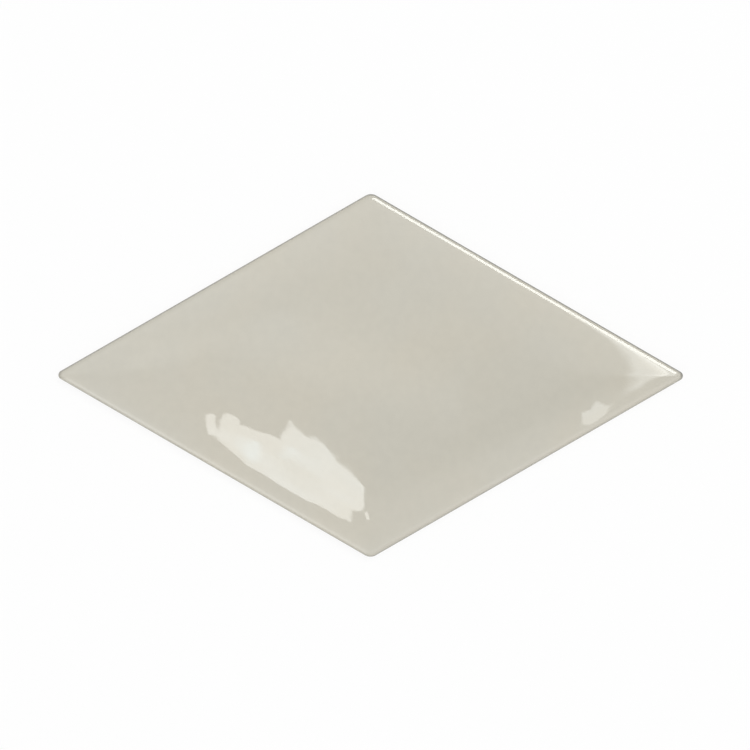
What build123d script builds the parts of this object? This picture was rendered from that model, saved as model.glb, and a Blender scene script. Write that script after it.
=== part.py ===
from build123d import *
import math
import os

# Glazed ceramic wall tile: a rhombus pressed and fired as one piece.
# It lies on its back. The origin is at the middle of the back, X runs along the long diagonal,
# Y along the short diagonal, and the glazed face looks up. Millimetres and degrees.

# Outline
side = 154.0  # from one sharp corner of the rhombus to the next
acute_angle = 60.0  # at the two ends of the long diagonal
acute_corner_radius = 2.0
obtuse_corner_radius = 4.5

# Section
thickness = 9.0  # from the back to the crown of the face
cushion_width = 26.0  # border over which the face falls away from the crown
cushion_drop = 0.8  # what the cushioned border would fall by at the outline
edge_radius = 1.4  # round-over between the face and the wall
back_chamfer = 0.6  # broken arris around the back

# Key for the adhesive: pockets in rows along the sides, with ribs between them and a plain rim around
pockets_per_row = 8
pocket_depth = 0.8
pocket_draft = 30.0
rib_width = 3.0
rim_width = 8.0

# Smoothness of the face: how many sections shape the round-over and the rest of the cushion
round_over_steps = 6
cushion_steps = 4

half_angle = math.radians(acute_angle) / 2
half_long_diagonal = side * math.cos(half_angle)
half_short_diagonal = side * math.sin(half_angle)
centre_to_side = half_long_diagonal * math.sin(half_angle)


def cushion_height(inset):
    """Height of the cushioned face at a distance in from the outline, before its edge is rounded over."""
    remaining = (cushion_width - inset) / cushion_width
    return thickness - cushion_drop * remaining**2


def round_over_sections():
    """Inset and height of each section of the face's rounded edge, from the wall up to the cushion."""
    for step in range(round_over_steps + 1):
        turn = math.pi / 2 * step / round_over_steps
        inset = edge_radius * (1 - math.cos(turn))
        yield inset, cushion_height(inset) - edge_radius * (1 - math.sin(turn))


def cushion_sections():
    """Inset and height of each section of the cushion, from the rounded edge to the crown."""
    for step in range(cushion_steps + 1):
        inset = edge_radius + (cushion_width - edge_radius) * step / cushion_steps
        yield inset, cushion_height(inset)


def rhombus_corners(share):
    """Corners of the tile's rhombus, drawn at a share of its full size around the origin."""
    half_length = half_long_diagonal * share
    half_width = half_short_diagonal * share
    return (half_length, 0), (0, half_width), (-half_length, 0), (0, -half_width)


# Outline of the tile, with its four corners rounded
with BuildSketch() as outline:
    with BuildLine():
        Polyline(*rhombus_corners(1), close=True)
    make_face()
    for axis, radius in ((Axis.X, acute_corner_radius), (Axis.Y, obtuse_corner_radius)):
        corners = outline.vertices().sort_by(axis)
        fillet([corners.first, corners.last], radius)

# Pockets of the key, each a small rhombus of the tile's own angles
field_width = 2 * (centre_to_side - rim_width)
pocket_width = (field_width - rib_width * (pockets_per_row - 1)) / pockets_per_row
pocket_pitch = (pocket_width + rib_width) / math.sin(2 * half_angle)
pocket_share = pocket_width / (2 * centre_to_side)
row_middle = (pockets_per_row - 1) / 2
pocket_centres = [
    (
        (row - row_middle + column - row_middle) * pocket_pitch * math.cos(half_angle),
        (row - column) * pocket_pitch * math.sin(half_angle),
    )
    for row in range(pockets_per_row)
    for column in range(pockets_per_row)
]
with BuildSketch() as pocket:
    with BuildLine():
        Polyline(*rhombus_corners(pocket_share), close=True)
    make_face()

with BuildPart() as tile:
    # Wall, from the back up to where the face's edge starts to round over
    with BuildSketch():
        add(outline.sketch)
    extrude(amount=cushion_height(0) - edge_radius)
    chamfer(tile.faces().sort_by(Axis.Z)[0].edges(), back_chamfer)

    # Face: its contour lines are the outline, drawn smaller about the middle
    for sections in (round_over_sections(), cushion_sections()):
        for inset, height in sections:
            with BuildSketch(Plane.XY.offset(height)):
                add(outline.sketch)
                scale(by=1 - inset / centre_to_side)
        loft()

    # Keyed back
    with BuildSketch():
        with Locations(*pocket_centres):
            add(pocket.sketch)
    extrude(amount=pocket_depth, taper=pocket_draft, mode=Mode.SUBTRACT)

tile.part.label = "tile"

os.makedirs("parts", exist_ok=True)
export_step(tile.part, "parts/tile.step")
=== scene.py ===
import math

import bpy
import numpy as np
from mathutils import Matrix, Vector


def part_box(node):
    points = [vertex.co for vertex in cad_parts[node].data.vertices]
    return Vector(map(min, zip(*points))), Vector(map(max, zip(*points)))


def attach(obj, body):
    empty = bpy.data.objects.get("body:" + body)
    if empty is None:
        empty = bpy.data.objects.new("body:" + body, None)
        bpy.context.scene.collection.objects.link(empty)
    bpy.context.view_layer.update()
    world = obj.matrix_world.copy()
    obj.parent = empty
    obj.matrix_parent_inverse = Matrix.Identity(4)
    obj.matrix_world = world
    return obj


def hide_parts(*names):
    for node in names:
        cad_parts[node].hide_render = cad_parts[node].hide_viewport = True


# A glazed diamond wall tile that lies on its back, seen from straight above.
# Metres and radians, in the solid's own frame: X along the long diagonal, Z out of the glazed face.

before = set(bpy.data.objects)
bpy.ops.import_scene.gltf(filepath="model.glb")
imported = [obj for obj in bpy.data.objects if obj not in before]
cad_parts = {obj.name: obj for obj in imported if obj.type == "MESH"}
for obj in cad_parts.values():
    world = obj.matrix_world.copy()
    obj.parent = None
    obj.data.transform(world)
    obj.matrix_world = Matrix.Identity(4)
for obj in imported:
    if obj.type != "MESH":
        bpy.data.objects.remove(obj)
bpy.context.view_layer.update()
tile_low, tile_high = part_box("tile")

MM = 0.001

# Sizes of the solid
THICKNESS = tile_high.z
HALF_ANGLE = math.radians(30)  # at each end of the long diagonal
ACUTE_RADIUS = 2.0 * MM
CUSHION_WIDTH = 26.0 * MM
CUSHION_DROP = 0.8 * MM
EDGE_RADIUS = 1.4 * MM
RIM_WIDTH = 8.0 * MM
RIB_WIDTH = 3.0 * MM
POCKETS_PER_ROW = 8
POCKET_DEPTH = 0.8 * MM
POCKET_DRAFT = math.radians(30)

SIDE_FACING = math.pi / 2 - HALF_ANGLE  # direction that the upper right side faces, from the X axis
HALF_LENGTH = tile_high.x + ACUTE_RADIUS * (1 / math.sin(HALF_ANGLE) - 1)  # to the sharp corner
HALF_WIDTH = HALF_LENGTH * math.tan(HALF_ANGLE)
CENTRE_TO_SIDE = HALF_LENGTH * math.sin(HALF_ANGLE)
OBTUSE_RADIUS = (HALF_WIDTH - tile_high.y) / (1 / math.cos(HALF_ANGLE) - 1)
ACUTE_CENTRE = HALF_LENGTH - ACUTE_RADIUS / math.sin(HALF_ANGLE)
OBTUSE_CENTRE = HALF_WIDTH - OBTUSE_RADIUS / math.cos(HALF_ANGLE)

# The glazed edge: a tight round-over below a soft shoulder, together as high as the solid's round-over
SHOULDER_DROP = 0.53 * MM
SHOULDER_REACH = 0.8 * MM
ARRIS_RADIUS = EDGE_RADIUS - SHOULDER_DROP

# The mitres of the cushion, which grow softer from each corner inwards: greatest softness, and its growth
LONG_MITRE = (6.0 * MM, 0.25)
SHORT_MITRE = (3.0 * MM, 0.3)

# The glaze's end, in a small roll part of the way down the wall
GLAZE_DEPTH = 0.15 * MM
GLAZE_END = 3.0 * MM  # height above the back
GLAZE_END_WAVES = ((9, 0.16, 0.3), (23, 0.10, 1.9), (61, 0.06, 4.1))  # count around, mm, phase
GLAZE_STEP = 0.05 * MM  # from the glaze's end down to the bare wall

# Loops of points down the wall: share of the way up from the glaze's end to the top, and inset in mm
GLAZED_WALL = ((0.8, 0.01), (0.55, 0.03), (0.3, 0.03))
# Height above the glaze's end, and inset, in mm
GLAZE_ROLL = ((0.40, 0.010), (0.22, 0.0), (0.10, 0.02), (0.03, 0.07), (0.0, 0.12))
# Height above the back, and inset, in mm
BACK_ARRIS = ((0.60, 0.15), (0.47, 0.16), (0.38, 0.22), (0.10, 0.50), (0.02, 0.60), (0.0, 0.72))

# Share of the painted shade, a dark line along the edge that stands in for the shaded wall: a middle value,
# and what a side's direction adds to it
EDGE_SHADE_MIDDLE = 0.565
EDGE_SHADE_TO_RIGHT = 0.22
EDGE_SHADE_TO_TOP = 0.26
EDGE_SHADE_WIDTH = 0.75 * MM
EDGE_SHADE_STEEPNESS = 1.6  # above 1, the colour is full for a part of its width before it fades
EDGE_SHADE_LOSS = 0.12  # from one loop of points down the wall to the next

# Swells and hollows of the glazed face, in mm: x, y, reach along X, reach along Y, height
SWELLS = (
    (-64.0, -20.0, 5.0, 8.0, -0.002),
    (3.0, -60.0, 6.0, 6.0, 0.008),
    (45.0, 12.0, 22.0, 14.0, 0.010),
    (88.0, -8.0, 9.0, 6.0, 0.004),
)

# Ripples all over the glazed face: wavelength in mm, direction in degrees, steepness, phase
RIPPLES = (
    (31.0, 160.0, 0.0008, 2.6),
    (24.0, 60.0, 0.0006, 0.8),
    (11.0, 140.0, 0.0005, 4.0),
    (9.5, 20.0, 0.0004, 0.4),
    (8.0, 75.0, 0.0002, 2.1),
    (5.2, 110.0, 0.0002, 1.0),
    (4.6, 35.0, 0.0002, 3.0),
)
RELIEF_FADE = 4.0 * MM  # width of the border over which swells and ripples die out

# Density of the mesh: cells of the keyed back, which the face's rings match
DRAFT_SHARES = (0.0, 0.2, 0.8, 1.0)  # places across a pocket's sloping wall
DRAFT_DEPTHS = (0.0, 0.06, 0.94, 1.0)  # depth there, so that its edges are soft
FLOOR_CELLS = 13
RIB_CELLS = 4
DRAFT_CELLS = len(DRAFT_SHARES) - 1
ROW_CELLS = POCKETS_PER_ROW * (FLOOR_CELLS + 2 * DRAFT_CELLS) + (POCKETS_PER_ROW - 1) * RIB_CELLS
RINGS = ROW_CELLS // 2
EDGE_RINGS = 12
FACE_RINGS = RINGS - EDGE_RINGS
RING_CROWDING = 1.4  # above 1, rings lie closer together towards the edge
ARC_SHARE = 0.08  # of a side's points, on each of its two corner arcs
RIM_SHARES = (0.03, 0.12, 0.35, 0.65, 0.9)  # loops across the back's plain rim

# Colours, linear
GLAZE_WARM = (0.590, 0.556, 0.472, 1)
GLAZE_COOL = (0.579, 0.554, 0.480, 1)
# Painted shade: the dark colour of the line along the edge
EDGE_SHADE_COLOUR = (0.235, 0.228, 0.205, 1)
BISQUE_PALE = (0.720, 0.650, 0.550, 1)
BISQUE_TAN = (0.610, 0.520, 0.410, 1)
BISQUE_SPECK = (0.260, 0.190, 0.130, 1)
FLOOR_WHITE = (0.950, 0.950, 0.950, 1)
PURE_WHITE = (1, 1, 1, 1)
LAMP_WARM = (0.970, 0.980, 0.950, 1)
LAMP_COOL = (0.950, 1.0, 1.020, 1)
LAMP_BLUE = (0.550, 1.0, 1.350, 1)

# Ranges that most of a noise lies in
NOISE_CORE = (0.35, 0.65)
NOISE_SPREAD = (0.3, 0.7)

# Directions that lamps lie in, in degrees from the X axis
RIGHT = 0
UPPER_RIGHT = 60
LEFT = 180
LOWER_LEFT = 240
BELOW_RIGHT = 349

# Width over which a lamp's borders fade
CRISP = 0.004
PALE_SOFT = 0.015
HALF_SOFT = 0.035
SOFT = 0.05
VERY_SOFT = 0.3


def outline(place):
    """Points of the rounded outline in the first quadrant, and the directions that it faces there.

    A place is -1 at the middle of the sharp corner's arc and 1 at the middle of the blunt corner's."""
    knots = (-1, ARC_SHARE - 1, 1 - ARC_SHARE, 1)
    facing = np.interp(place, knots, (0, SIDE_FACING, SIDE_FACING, math.pi / 2))
    radius = np.interp(place, knots, (ACUTE_RADIUS, ACUTE_RADIUS, OBTUSE_RADIUS, OBTUSE_RADIUS))
    centre_x = np.interp(place, knots, (ACUTE_CENTRE, ACUTE_CENTRE, 0, 0))
    centre_y = np.interp(place, knots, (0, 0, OBTUSE_CENTRE, OBTUSE_CENTRE))
    toward = np.stack((np.cos(facing), np.sin(facing)), axis=-1)
    return np.stack((centre_x, centre_y), axis=-1) + radius[..., None] * toward, toward


def outline_of_ring(i, j, ring):
    """For each point of the square grid, its point on the full outline and the direction faced there."""
    on_side = (i == ring, j == ring, i == -ring)
    place = np.select(on_side, (j, i, -j), -i) / np.maximum(ring, 1)
    flip_x = np.select(on_side, (1, -1, -1), 1)
    flip_y = np.select(on_side, (1, 1, -1), -1)
    flip = np.stack((flip_x, flip_y), axis=-1)
    points, toward = outline(place)
    return points * flip, toward * flip


def smooth(share):
    """Eases a share from 0 to 1, with level ends."""
    share = np.clip(share, 0, 1)
    return share * share * (3 - 2 * share)


def ring_inset(ring):
    """Distance from the outline to each ring: even turns over the rounded edge, then across the face."""
    turn = (RINGS - ring) / EDGE_RINGS * math.pi / 2
    across = np.clip(1 - ring / FACE_RINGS, 0, 1) ** RING_CROWDING
    on_edge = ARRIS_RADIUS * (1 - np.cos(turn))
    on_face = ARRIS_RADIUS + (CENTRE_TO_SIDE - ARRIS_RADIUS) * across
    return np.where(ring > FACE_RINGS, on_edge, on_face)


def mitre_softening(distance, inset, mitre):
    """How much nearer to the edge the cushion takes a point to be, at a distance from one of its mitres."""
    most, growth = mitre
    return (np.hypot(distance, np.minimum(most, growth * inset)) - distance) / 2


def face_height(x, y, inset):
    """Height of the face without its relief: the cushion, the glaze's soft shoulder and the arris."""
    along_length = mitre_softening(2 * math.cos(HALF_ANGLE) * np.abs(y), inset, LONG_MITRE)
    along_width = mitre_softening(2 * math.sin(HALF_ANGLE) * np.abs(x), inset, SHORT_MITRE)
    sharp_inset = CENTRE_TO_SIDE - math.sin(HALF_ANGLE) * np.abs(x) - math.cos(HALF_ANGLE) * np.abs(y)
    cushion_inset = sharp_inset - along_length - along_width
    cushion = CUSHION_DROP * np.clip(1 - cushion_inset / CUSHION_WIDTH, 0, None) ** 2
    shoulder = SHOULDER_DROP * np.exp(-inset / SHOULDER_REACH)
    steep = np.clip(1 - inset / ARRIS_RADIUS, 0, 1)
    arris = ARRIS_RADIUS * (1 - np.sqrt(1 - steep**2))
    return THICKNESS - cushion - shoulder - arris


def face_relief(x, y):
    """Swells and ripples of the glazed face."""
    total = np.zeros_like(x)
    for swell_x, swell_y, reach_x, reach_y, height in SWELLS:
        across = (x / MM - swell_x) / reach_x
        along = (y / MM - swell_y) / reach_y
        total += height * MM * np.exp(-(across**2 + along**2) / 2)
    for wavelength, degrees, steepness, phase in RIPPLES:
        turns = 2 * math.pi / (wavelength * MM)
        direction = math.radians(degrees)
        travel = x * math.cos(direction) + y * math.sin(direction)
        total += steepness / turns * np.sin(turns * travel + phase)
    return total


def painted_edge_shade(inset, toward):
    """Share of the painted shade along the edge, strongest along the upper right side."""
    strength = EDGE_SHADE_MIDDLE + EDGE_SHADE_TO_RIGHT * toward[..., 0] + EDGE_SHADE_TO_TOP * toward[..., 1]
    return strength * smooth(EDGE_SHADE_STEEPNESS * (1 - inset / EDGE_SHADE_WIDTH))


def face_grid(i, j):
    """Points of the glazed face, and how much painted edge shade each has."""
    ring = np.maximum(np.abs(i), np.abs(j))
    inset = ring_inset(ring)
    points, toward = outline_of_ring(i, j, ring)
    points = points * (1 - inset / CENTRE_TO_SIDE)[..., None]
    x, y = points[..., 0], points[..., 1]
    height = face_height(x, y, inset) + face_relief(x, y) * smooth(inset / RELIEF_FADE)
    height -= height.max() - THICKNESS
    return np.stack((x, y, height), axis=-1), painted_edge_shade(inset, toward)


def key_lines():
    """Lines of the grid across the keyed back, and how deep the pockets are on each, from 0 to 1."""
    field = 2 * (CENTRE_TO_SIDE - RIM_WIDTH)
    pocket = (field - RIB_WIDTH * (POCKETS_PER_ROW - 1)) / POCKETS_PER_ROW
    draft = POCKET_DEPTH * math.tan(POCKET_DRAFT) * np.array(DRAFT_SHARES)
    lines = []
    depths = []
    for number in range(POCKETS_PER_ROW):
        start = number * (pocket + RIB_WIDTH) - field / 2
        end = start + pocket
        floor = np.linspace(start + draft[-1], end - draft[-1], FLOOR_CELLS + 1)[1:-1]
        rib = np.linspace(end, end + RIB_WIDTH, RIB_CELLS + 1)[1:-1]
        lines += [start + draft, floor, end - draft[::-1], rib]
        depths += [DRAFT_DEPTHS, np.ones_like(floor), DRAFT_DEPTHS[::-1], np.zeros_like(rib)]
    return np.concatenate(lines[:-1]), np.concatenate(depths[:-1])


def back_grid():
    """Points of the keyed field of the back."""
    lines, depths = key_lines()
    first, second = np.meshgrid(lines, lines, indexing="ij")
    x = (first - second) / (2 * math.cos(SIDE_FACING))
    y = (first + second) / (2 * math.sin(SIDE_FACING))
    depth = POCKET_DEPTH * np.minimum.outer(depths, depths)
    return np.stack((x, y, depth), axis=-1)


def border(grid):
    """Border of a grid, anticlockwise from the corner at the right end of the tile."""
    return np.concatenate((grid[-1, :-1], grid[:0:-1, -1], grid[0, :0:-1], grid[:-1, 0]))


def wall_sections(top):
    """Height and inset of each loop of points down the wall, glazed ones first, then bare ones."""
    around = np.linspace(0, 2 * math.pi, len(top), endpoint=False)
    end = np.full_like(top, GLAZE_END)
    for count, height, phase in GLAZE_END_WAVES:
        end += height * MM * np.sin(count * around + phase)
    glazed = [(end + share * (top - end), inset * MM) for share, inset in GLAZED_WALL]
    glazed += [(end + rise * MM, inset * MM) for rise, inset in GLAZE_ROLL]
    bare = [(end - GLAZE_STEP, GLAZE_DEPTH), (end / 2, GLAZE_DEPTH)]
    bare += [(np.full_like(top, height * MM), inset * MM) for height, inset in BACK_ARRIS]
    return glazed, bare


def wall_loops(rim, key_rim):
    """Loops of points from the face's rim down the wall and in to the key, and how many are glazed."""
    glazed, bare = wall_sections(rim[:, 2])
    loops = []
    for height, inset in glazed + bare:
        level = rim[:, :2] * (1 - inset / CENTRE_TO_SIDE)
        loops.append(np.column_stack((level, height)))
    foot = loops[-1]
    loops += [foot * (1 - share) + key_rim * share for share in RIM_SHARES]
    return loops, len(glazed)


def grid_quads(ids):
    """Quads of a grid of points, anticlockwise seen from above."""
    corners = (ids[:-1, :-1], ids[1:, :-1], ids[1:, 1:], ids[:-1, 1:])
    return np.stack(corners, axis=-1).reshape(-1, 4)


def band_quads(upper, lower):
    """Quads between two closed loops of points, facing out."""
    return np.stack((upper, lower, np.roll(lower, -1), np.roll(upper, -1)), axis=-1)


def tile_mesh():
    """One closed mesh: the glazed face, the wall down to the back, and the keyed back."""
    i, j = np.mgrid[-RINGS : RINGS + 1, -RINGS : RINGS + 1]
    face, face_edge_shade = face_grid(i, j)
    back = back_grid()
    loops, glazed_count = wall_loops(border(face), border(back))
    points = np.concatenate([face.reshape(-1, 3), *loops, back.reshape(-1, 3)])

    rim_edge_shade = border(face_edge_shade)
    # Painted edge shade, fading loop by loop down the wall
    loop_edge_shades = [rim_edge_shade * max(0, 1 - EDGE_SHADE_LOSS * number) for number in range(len(loops))]
    edge_shades = np.concatenate([face_edge_shade.ravel(), *loop_edge_shades, np.zeros(back[..., 0].size)])

    face_ids = np.arange(i.size).reshape(i.shape)
    around = len(rim_edge_shade)
    loop_ids = [i.size + around * number + np.arange(around) for number in range(len(loops))]
    back_ids = i.size + around * len(loops) + face_ids
    rows = [border(face_ids), *loop_ids, border(back_ids)]
    bands = [band_quads(upper, lower) for upper, lower in zip(rows, rows[1:])]
    glazed_quads = [grid_quads(face_ids), *bands[:glazed_count]]
    bare_quads = [*bands[glazed_count:], grid_quads(back_ids)[:, ::-1]]
    quads = np.concatenate(glazed_quads + bare_quads)
    slots = np.zeros(len(quads), dtype=np.int32)
    slots[sum(map(len, glazed_quads)) :] = 1

    mesh = bpy.data.meshes.new("glazed_tile")
    mesh.from_pydata(points.tolist(), [], quads.tolist())
    mesh.polygons.foreach_set("material_index", slots)
    # Each point keeps its share of painted edge shade
    mesh.attributes.new("painted_edge_shade", "FLOAT", "POINT").data.foreach_set("value", edge_shades.astype(np.float32))
    mesh.shade_smooth()
    return mesh


def new_material(name):
    """A material without nodes, and its tree of nodes."""
    material = bpy.data.materials.new(name)
    material.use_nodes = True
    material.node_tree.nodes.clear()
    return material, material.node_tree


def add_node(tree, kind, inputs, **settings):
    """Adds a node. Each input is set to a plain value or linked to another node's output."""
    made = tree.nodes.new("ShaderNode" + kind)
    for name, value in settings.items():
        setattr(made, name, value)
    for name, value in inputs.items():
        if isinstance(value, bpy.types.NodeSocket):
            tree.links.new(value, made.inputs[name])
        else:
            made.inputs[name].default_value = value
    return made


def noise(tree, place, scale, detail):
    """Noise that varies from about 0 to 1 over 1 / scale metres."""
    inputs = {"Vector": place, "Scale": scale, "Detail": detail}
    return add_node(tree, "TexNoise", inputs).outputs[0]


def remap(tree, value, spread, target=(0, 1)):
    """Maps a value from one range to another, and holds it there."""
    low, high = spread
    to_low, to_high = target
    inputs = {"Value": value, "From Min": low, "From Max": high, "To Min": to_low, "To Max": to_high}
    return add_node(tree, "MapRange", inputs, clamp=True).outputs[0]


def join(tree, values, operation):
    """Joins values into one, such as their product or the largest of them."""
    total = values[0]
    for value in values[1:]:
        total = add_node(tree, "Math", {0: total, 1: value}, operation=operation).outputs[0]
    return total


def mix_colour(tree, share, first, second, blend="MIX"):
    """Mixes two colours by a share."""
    inputs = {0: share, 6: first, 7: second}
    return add_node(tree, "Mix", inputs, data_type="RGBA", blend_type=blend).outputs[2]


def grey(level):
    """A colour with the same level of red, green and blue."""
    return level, level, level, 1


def glaze_material():
    """Glossy greige glaze, with soft drifts of tone and a painted dark line of shade along the edge."""
    # Noises: scale and detail
    DRIFT = (22, 2)
    MOTTLE = (260, 4)
    PEEL = (280, 3)
    MOTTLE_SHADES = (0.985, 1.015)
    GLOSS = (0.008, 0.020)  # range of the roughness
    PEEL_HEIGHT = 0.0012 * MM
    REFRACTION = 1.52
    material, tree = new_material("greige_glaze")
    place = add_node(tree, "TexCoord", {}).outputs["Object"]
    drift = remap(tree, noise(tree, place, *DRIFT), NOISE_CORE)
    mottle = noise(tree, place, *MOTTLE)
    peel = noise(tree, place, *PEEL)
    body = mix_colour(tree, drift, GLAZE_WARM, GLAZE_COOL)
    body = mix_colour(tree, 1, body, remap(tree, mottle, NOISE_SPREAD, MOTTLE_SHADES), "MULTIPLY")
    # Share of painted shade along the edge, which darkens the glaze toward its shade colour
    tint = add_node(tree, "Attribute", {}, attribute_name="painted_edge_shade").outputs["Fac"]
    bump = add_node(tree, "Bump", {"Height": peel, "Distance": PEEL_HEIGHT, "Strength": 1})
    inputs = {
        "Base Color": mix_colour(tree, tint, body, EDGE_SHADE_COLOUR),
        "Roughness": remap(tree, mottle, NOISE_SPREAD, GLOSS),
        "IOR": REFRACTION,
        "Normal": bump.outputs[0],
    }
    shader = add_node(tree, "BsdfPrincipled", inputs)
    add_node(tree, "OutputMaterial", {"Surface": shader.outputs[0]})
    return material


def bisque_material():
    """Bare fired body: cream, dull and sandy, with scattered darker grains."""
    # Noises: scale and detail
    CLOUD = (45, 3)
    GRAIN = (1600, 5)
    SPECK = (1100, 1)
    CLOUD_SHARE = 0.6
    SPECK_RANGE = (0.70, 0.76)  # only the peaks of the noise
    SPECK_SHARE = 0.8
    GRAIN_SHADES = (0.9, 1.06)
    DULLNESS = (0.82, 0.96)  # range of the roughness
    GRAIN_HEIGHT = 0.05 * MM
    material, tree = new_material("cream_bisque")
    place = add_node(tree, "TexCoord", {}).outputs["Object"]
    cloud = remap(tree, noise(tree, place, *CLOUD), NOISE_CORE, (0, CLOUD_SHARE))
    grain = noise(tree, place, *GRAIN)
    speck = remap(tree, noise(tree, place, *SPECK), SPECK_RANGE, (0, SPECK_SHARE))
    body = mix_colour(tree, cloud, BISQUE_PALE, BISQUE_TAN)
    body = mix_colour(tree, 1, body, remap(tree, grain, NOISE_SPREAD, GRAIN_SHADES), "MULTIPLY")
    bump = add_node(tree, "Bump", {"Height": grain, "Distance": GRAIN_HEIGHT, "Strength": 1})
    inputs = {
        "Base Color": mix_colour(tree, speck, body, BISQUE_SPECK),
        "Roughness": remap(tree, grain, NOISE_SPREAD, DULLNESS),
        "Normal": bump.outputs[0],
    }
    shader = add_node(tree, "BsdfPrincipled", inputs)
    add_node(tree, "OutputMaterial", {"Surface": shader.outputs[0]})
    return material


def make_tile():
    """The tile, in the place of its solid."""
    mesh = tile_mesh()
    mesh.materials.append(glaze_material())
    mesh.materials.append(bisque_material())
    tile = bpy.data.objects.new("glazed_tile", mesh)
    bpy.context.scene.collection.objects.link(tile)
    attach(tile, "root")
    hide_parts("tile")


def floor_material():
    """White floor: light falls on it as on any surface, and it shows as white with a faint shadow."""
    WHITE_SHARE = 0.88
    SHOWING_RAYS = ("Is Camera Ray", "Is Glossy Ray", "Is Transmission Ray")
    material, tree = new_material("white_floor")
    material.cycles.emission_sampling = "NONE"
    path = add_node(tree, "LightPath", {}).outputs
    seen = join(tree, [path[ray] for ray in SHOWING_RAYS], "MAXIMUM")
    lit = add_node(tree, "BsdfDiffuse", {"Color": FLOOR_WHITE}).outputs[0]
    white = add_node(tree, "Emission", {"Color": PURE_WHITE, "Strength": 1}).outputs[0]
    shown = add_node(tree, "MixShader", {0: WHITE_SHARE, 1: lit, 2: white}).outputs[0]
    surface = add_node(tree, "MixShader", {0: seen, 1: lit, 2: shown}).outputs[0]
    add_node(tree, "OutputMaterial", {"Surface": surface})
    return material


def make_floor():
    """A plain white floor under the tile."""
    FLOOR_HALF = 40.0
    FLOOR_GAP = 0.02 * MM
    corners = [(x * FLOOR_HALF, y * FLOOR_HALF, 0) for x, y in ((-1, -1), (1, -1), (1, 1), (-1, 1))]
    mesh = bpy.data.meshes.new("floor")
    mesh.from_pydata(corners, [], [(0, 1, 2, 3)])
    mesh.materials.append(floor_material())
    floor = bpy.data.objects.new("floor", mesh)
    floor.location.z = tile_low.z - FLOOR_GAP
    bpy.context.scene.collection.objects.link(floor)


def make_world():
    """Pale studio all around, white at the horizon and brightest in a wide ring about the top.

    A dim oval lies in the middle of the ring."""
    DIM_MIDDLE = Vector((0.080, -0.032, 1)).normalized()
    OVAL = (0.5, 1, 1)
    BRIGHTEST = 1.8
    WIDEST = 1.2
    HORIZON_HEIGHT = 0.3  # below this, the sky turns white towards the horizon
    # Distance from the dim middle, and brightness there
    STOPS = (
        (0.0, 0.05),
        (0.03, 0.30),
        (0.045, 0.62),
        (0.06, 0.88),
        (0.1, 1.0),
        (0.2, 1.8),
        (0.3, 1.4),
        (0.45, 0.7),
        (0.8, 0.42),
        (1.1, 0.42),
    )
    world = bpy.data.worlds.new("studio")
    bpy.context.scene.world = world
    world.use_nodes = True
    tree = world.node_tree
    tree.nodes.clear()
    direction = add_node(tree, "TexCoord", {}).outputs["Generated"]
    away = add_node(tree, "VectorMath", {0: direction, 1: DIM_MIDDLE}, operation="SUBTRACT").outputs[0]
    away = add_node(tree, "VectorMath", {0: away, 1: OVAL}, operation="MULTIPLY").outputs[0]
    away = add_node(tree, "VectorMath", {0: away}, operation="LENGTH").outputs["Value"]
    ramp = add_node(tree, "ValToRGB", {0: remap(tree, away, (0, WIDEST))})
    elements = ramp.color_ramp.elements
    while len(elements) < len(STOPS):
        elements.new(1)
    for element, (stop, brightness) in zip(elements, STOPS):
        element.position = stop / WIDEST
        element.color = grey(brightness / BRIGHTEST)
    height = add_node(tree, "SeparateXYZ", {0: direction}).outputs["Z"]
    low = remap(tree, height, (0, HORIZON_HEIGHT), (1, 0))
    colour = mix_colour(tree, low, ramp.outputs[0], grey(1 / BRIGHTEST))
    sky = add_node(tree, "Background", {"Color": colour, "Strength": BRIGHTEST})
    add_node(tree, "OutputWorld", {"Surface": sky.outputs[0]})


def pane_strength(tree, place, spots, softness):
    """Strength of a lamp within one of its panes: 1 inside, fading to 0 over a softness at its borders."""
    fades = []
    for start, end in zip(spots, spots[1:] + spots[:1]):
        inward = Vector((start.y - end.y, end.x - start.x, 0)).normalized()
        line = inward.dot(start)
        reach = add_node(tree, "VectorMath", {0: place, 1: inward}, operation="DOT_PRODUCT").outputs["Value"]
        fades.append(remap(tree, reach, (line, line + softness)))
    return join(tree, fades, "MULTIPLY")


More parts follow.
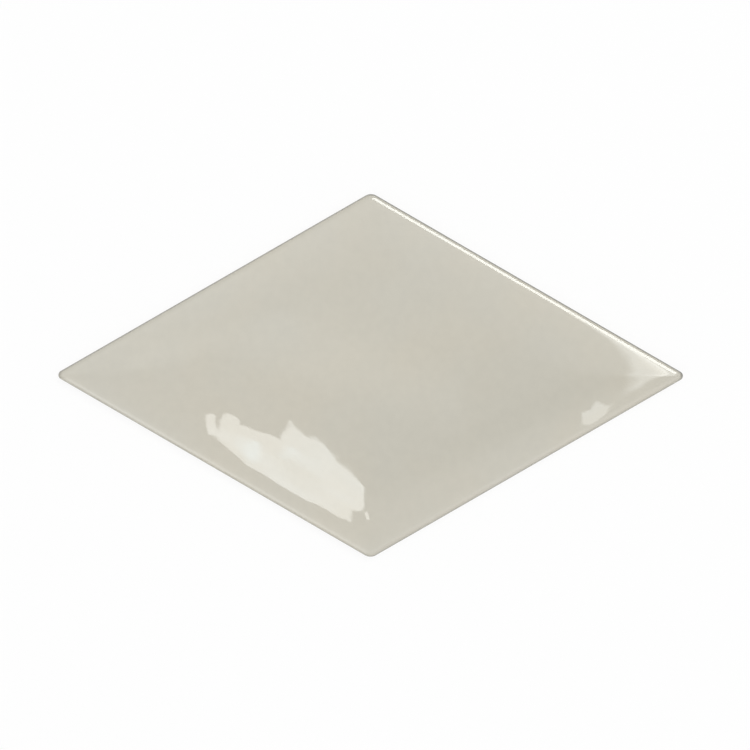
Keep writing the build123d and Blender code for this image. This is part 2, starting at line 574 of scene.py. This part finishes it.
def softbox(name, facing, panes, radiance, softness, tint=None, clouds=0):
    """A lamp on the studio's ceiling, made of one or more panes with soft borders.

    The corners of a pane are distances from the vertical over the tile: out in the direction that the lamp
    lies in, and to the right of that direction. They run anticlockwise seen from above. A pane has no
    hollow corner. A lamp without a tint drifts between two whites, and its light may rise and fall by
    a share, as if by clouds."""
    CEILING = 3.0
    STAGGER = 0.02  # each lamp hangs a little higher than the last, so that no two lie in one plane
    CLOUD = (9, 1)  # scale and detail of the noise
    DRIFT_RANGE = (0.4, 0.65)  # of the noise, from the warm white to the cool one
    turn = math.radians(facing)
    outward = Vector((math.cos(turn), math.sin(turn), 0))
    beside = Vector((math.sin(turn), -math.cos(turn), 0))
    pane_spots = [[outward * out + beside * right for out, right in pane] for pane in panes]
    all_spots = sum(pane_spots, [])
    low = Vector(map(min, *all_spots))
    high = Vector(map(max, *all_spots))

    lamp = bpy.data.lights.new(name, "AREA")
    lamp.shape = "RECTANGLE"
    lamp.size, lamp.size_y = (high - low).xy
    lamp.energy = radiance * math.pi * lamp.size * lamp.size_y
    lamp.use_nodes = True
    tree = lamp.node_tree
    tree.nodes.clear()
    place = add_node(tree, "NewGeometry", {}).outputs["Position"]
    strength = join(tree, [pane_strength(tree, place, spots, softness) for spots in pane_spots], "MAXIMUM")
    colour = tint
    if tint is None:
        cloud = noise(tree, place, *CLOUD)
        colour = mix_colour(tree, remap(tree, cloud, DRIFT_RANGE), LAMP_WARM, LAMP_COOL)
        if clouds > 0:
            level = remap(tree, cloud, NOISE_CORE, (1 - clouds, 1 + clouds))
            strength = join(tree, (strength, level), "MULTIPLY")
    glow = add_node(tree, "Emission", {"Color": colour, "Strength": strength})
    add_node(tree, "OutputLight", {"Surface": glow.outputs[0]})

    made = bpy.data.objects.new(name, lamp)
    made.location = (low + high) / 2 + Vector((0, 0, CEILING + STAGGER * len(bpy.data.lights)))
    made.visible_camera = False
    bpy.context.scene.collection.objects.link(made)


def make_big_window():
    """The window that the lower left of the tile mirrors, and the paler parts of it."""
    CLOUDS = 0.08
    main = (
        (0.464, 0.075), (0.474, 0.002), (0.455, -0.038), (0.378, -0.081), (0.325, -0.106),
        (0.255, -0.098), (0.178, -0.085), (0.137, -0.045), (0.121, 0.030), (0.122, 0.075),
    )
    foot = ((0.368, -0.082), (0.456, -0.022), (0.454, -0.078), (0.430, -0.088), (0.380, -0.086))
    hook = ((0.333, -0.106), (0.370, -0.137), (0.343, -0.186), (0.313, -0.122))
    left = (
        (0.171, 0.067), (0.184, 0.092), (0.197, 0.108), (0.236, 0.137), (0.267, 0.160),
        (0.310, 0.161), (0.375, 0.160), (0.414, 0.155), (0.472, 0.092), (0.464, 0.067),
    )
    top = ((0.195, 0.1415), (0.192, 0.150), (0.218, 0.160), (0.300, 0.162), (0.300, 0.119))
    side = ((0.268, 0.171), (0.262, 0.183), (0.280, 0.190), (0.306, 0.192), (0.421, 0.163), (0.387, 0.149))
    panes = (main, foot, hook, left, top, side)
    softbox("window", LOWER_LEFT, panes, radiance=4.7, softness=CRISP, clouds=CLOUDS)

    pale_left = (
        (0.276, 0.122), (0.344, 0.132), (0.426, 0.120), (0.457, 0.092), (0.382, 0.080), (0.264, 0.092),
    )
    pale_main = ((0.160, 0.032), (0.185, 0.064), (0.308, 0.074), (0.312, 0.035), (0.210, 0.024))
    softbox("window_pale_left", LOWER_LEFT, (pale_left,), radiance=1.5, softness=PALE_SOFT, tint=LAMP_BLUE)
    softbox("window_pale_main", LOWER_LEFT, (pale_main,), radiance=0.7, softness=PALE_SOFT, tint=LAMP_BLUE)


def make_right_windows():
    """Windows that the right end of the tile mirrors."""
    small = (
        (0.4285, 0.2575), (0.4645, 0.3435), (0.592, 0.523), (0.588, 0.485), (0.540, 0.350), (0.4495, 0.2635),
    )
    peak = ((0.449, 0.258), (0.470, 0.310), (0.545, 0.400), (0.522, 0.314), (0.438, 0.222))
    end = ((0.451, -0.750), (0.452, -0.115), (0.562, 0.180), (0.612, 0.185), (0.612, -0.750))
    corner = ((0.510, -0.750), (0.510, -0.050), (0.850, -0.050), (0.850, -0.750))
    softbox("window_small", RIGHT, (small, peak), radiance=3.1, softness=CRISP)
    softbox("window_end", BELOW_RIGHT, (end,), radiance=3.2, softness=HALF_SOFT)
    softbox("window_corner", BELOW_RIGHT, (corner,), radiance=3.2, softness=SOFT)


def make_long_lights():
    """A strip, mirrored along the upper right edge, and two weak lights.

    One of these is mirrored along the lower left edge, and the other as a band from the left end of the tile
    to a little past its middle."""
    strip = ((0.840, -0.400), (0.840, 0.650), (1.600, 0.650), (1.600, -0.400))
    fill = ((0.860, -0.400), (0.860, 0.700), (2.500, 0.700), (2.500, -0.400))
    band = ((0.520, 0.107), (-0.175, -0.124), (-0.175, -0.004), (0.520, 0.309))
    softbox("strip_light", UPPER_RIGHT, (strip,), radiance=9.4, softness=SOFT)
    softbox("fill_light", LOWER_LEFT, (fill,), radiance=2.0, softness=VERY_SOFT)
    softbox("band_light", LEFT, (band,), radiance=0.45, softness=SOFT)


def make_camera():
    """Camera straight above, framed as the photograph is."""
    FRAME_WIDTH = 0.3155  # across the picture, at the height of the tile's outline
    FRAME_MIDDLE = (1.82 * MM, 0.18 * MM)
    ROLL = 0.0014
    LENS = 135
    SENSOR = 36
    camera = bpy.data.cameras.new("camera")
    camera.lens = LENS
    camera.sensor_width = SENSOR
    outline_height = THICKNESS - CUSHION_DROP - EDGE_RADIUS
    made = bpy.data.objects.new("camera", camera)
    made.rotation_euler.z = ROLL
    made.location = (*FRAME_MIDDLE, outline_height + FRAME_WIDTH * LENS / SENSOR)
    bpy.context.scene.collection.objects.link(made)
    bpy.context.scene.camera = made


make_tile()
make_floor()
make_world()
make_big_window()
make_right_windows()
make_long_lights()
make_camera()
bpy.context.scene.view_settings.view_transform = "Standard"
